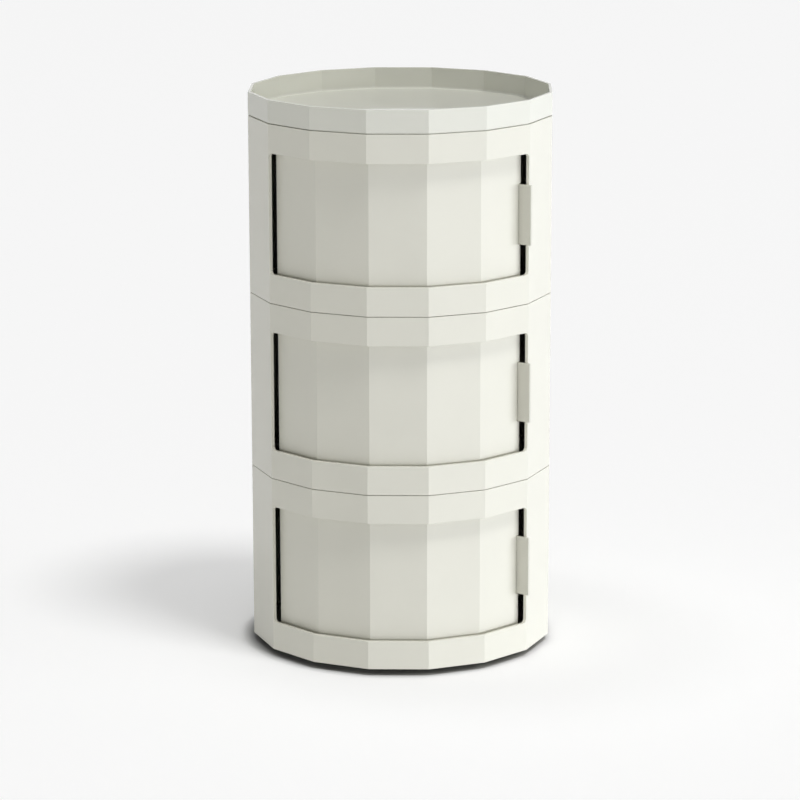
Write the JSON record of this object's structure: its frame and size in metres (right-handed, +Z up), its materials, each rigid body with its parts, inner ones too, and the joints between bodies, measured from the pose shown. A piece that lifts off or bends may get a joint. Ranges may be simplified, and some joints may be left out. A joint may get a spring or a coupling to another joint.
{
  "type": "round side cabinet",
  "caption": "Faceted round side cabinet of stacked drums in glossy ivory plastic, with curved doors that slide round inside behind windows, fin pulls, and a lift-off tray on top.",
  "frame": {"origin": "on the floor, on the vertical axis that the drums and the doors share", "axes": "+Z up, -Y out of the windows towards the user, +X to the right as the user faces the windows"},
  "size_m": [0.3138, 0.3138, 0.5892],
  "materials": {
    "tray_plastic": "glossy ivory moulding",
    "shell_plastic": "glossy ivory moulding",
    "shelf_plastic": "satin ivory moulding",
    "door_plastic": "glossy ivory moulding",
    "pull_plastic": "glossy ivory moulding",
    "glide_plastic": "slippery natural white moulding",
    "foot_rubber": "dark soft pad"
  },
  "bodies": {
    "cabinet": {"upper_shell": "shell_plastic", "upper_shelf": "shelf_plastic", "middle_shell": "shell_plastic", "middle_shelf": "shelf_plastic", "lower_shell": "shell_plastic", "lower_shelf": "shelf_plastic", "foot_1": "foot_rubber", "foot_2": "foot_rubber", "foot_3": "foot_rubber", "foot_4": "foot_rubber"},
    "tray": {"top_tray": "tray_plastic"},
    "upper_door": {"upper_door": "door_plastic", "upper_pull": "pull_plastic", "upper_bottom_glide_left": "glide_plastic", "upper_bottom_glide_right": "glide_plastic", "upper_top_glide_left": "glide_plastic", "upper_top_glide_right": "glide_plastic"},
    "middle_door": {"middle_door": "door_plastic", "middle_pull": "pull_plastic", "middle_bottom_glide_left": "glide_plastic", "middle_bottom_glide_right": "glide_plastic", "middle_top_glide_left": "glide_plastic", "middle_top_glide_right": "glide_plastic"},
    "lower_door": {"lower_door": "door_plastic", "lower_pull": "pull_plastic", "lower_bottom_glide_left": "glide_plastic", "lower_bottom_glide_right": "glide_plastic", "lower_top_glide_left": "glide_plastic", "lower_top_glide_right": "glide_plastic"}
  },
  "joints": [
    {"name": "upper_door_run", "type": "hinge", "parent": "cabinet", "child": "upper_door", "pos_m": [0, 0, 0.4715], "axis": [0, 0, -1], "range_deg": [0, 110]},
    {"name": "middle_door_run", "type": "hinge", "parent": "cabinet", "child": "middle_door", "pos_m": [0, 0, 0.2855], "axis": [0, 0, -1], "range_deg": [0, 110]},
    {"name": "lower_door_run", "type": "hinge", "parent": "cabinet", "child": "lower_door", "pos_m": [0, 0, 0.0995], "axis": [0, 0, -1], "range_deg": [0, 110]},
    {"name": "tray_lift", "type": "slide", "parent": "cabinet", "child": "tray", "axis": [0, 0, 1], "range_m": [0, 0.06]}
  ]
}
